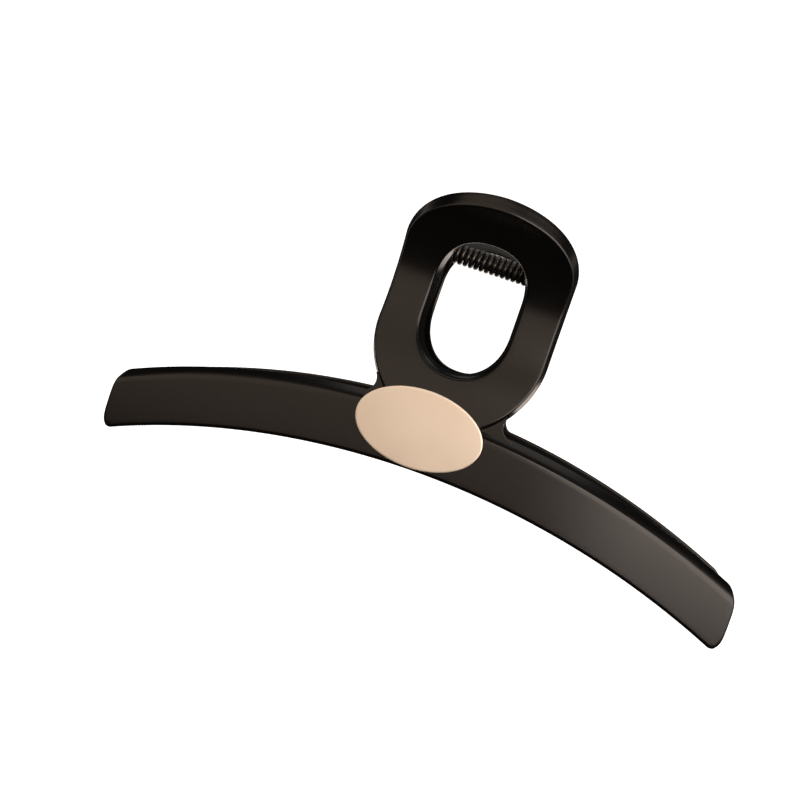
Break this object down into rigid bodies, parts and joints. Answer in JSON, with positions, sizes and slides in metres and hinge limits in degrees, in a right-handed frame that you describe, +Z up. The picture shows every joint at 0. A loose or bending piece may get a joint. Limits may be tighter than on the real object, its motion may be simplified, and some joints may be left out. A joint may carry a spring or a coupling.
{
  "type": "claw clip",
  "caption": "Large claw clip for hair: two arched toothed bars with finger loops on a sprung hinge, an oval metal plate on the front.",
  "frame": {"origin": "on the surface the clip stands on, midway between the two jaws and midway along the hinge", "axes": "+X along the hinge pin, -Y out of the front jaw that carries the oval plate, +Z up from the teeth to the finger loops"},
  "size_m": [0.1334, 0.033, 0.0696],
  "materials": {
    "jaw_plastic": "matt black-brown moulded plastic",
    "pin_steel": "drawn steel",
    "spring_steel": "dark oiled spring wire",
    "adhesive_film": "thin double-sided film",
    "plate_metal": "satin champagne-gold plating"
  },
  "bodies": {
    "back_half": {"back_jaw": "jaw_plastic", "hinge_pin": "pin_steel", "torsion_spring": "spring_steel"},
    "front_half": {"front_jaw": "jaw_plastic", "plate_adhesive": "adhesive_film", "oval_plate": "plate_metal"}
  },
  "joints": [
    {"name": "jaw_hinge", "type": "hinge", "parent": "back_half", "child": "front_half", "pos_m": [0, 0, 0.05807], "axis": [-1, 0, 0], "range_deg": [0, 95], "stiffness_Nm_per_rad": 0.12, "springref_deg": -34.38, "deforming": ["torsion_spring"]}
  ]
}
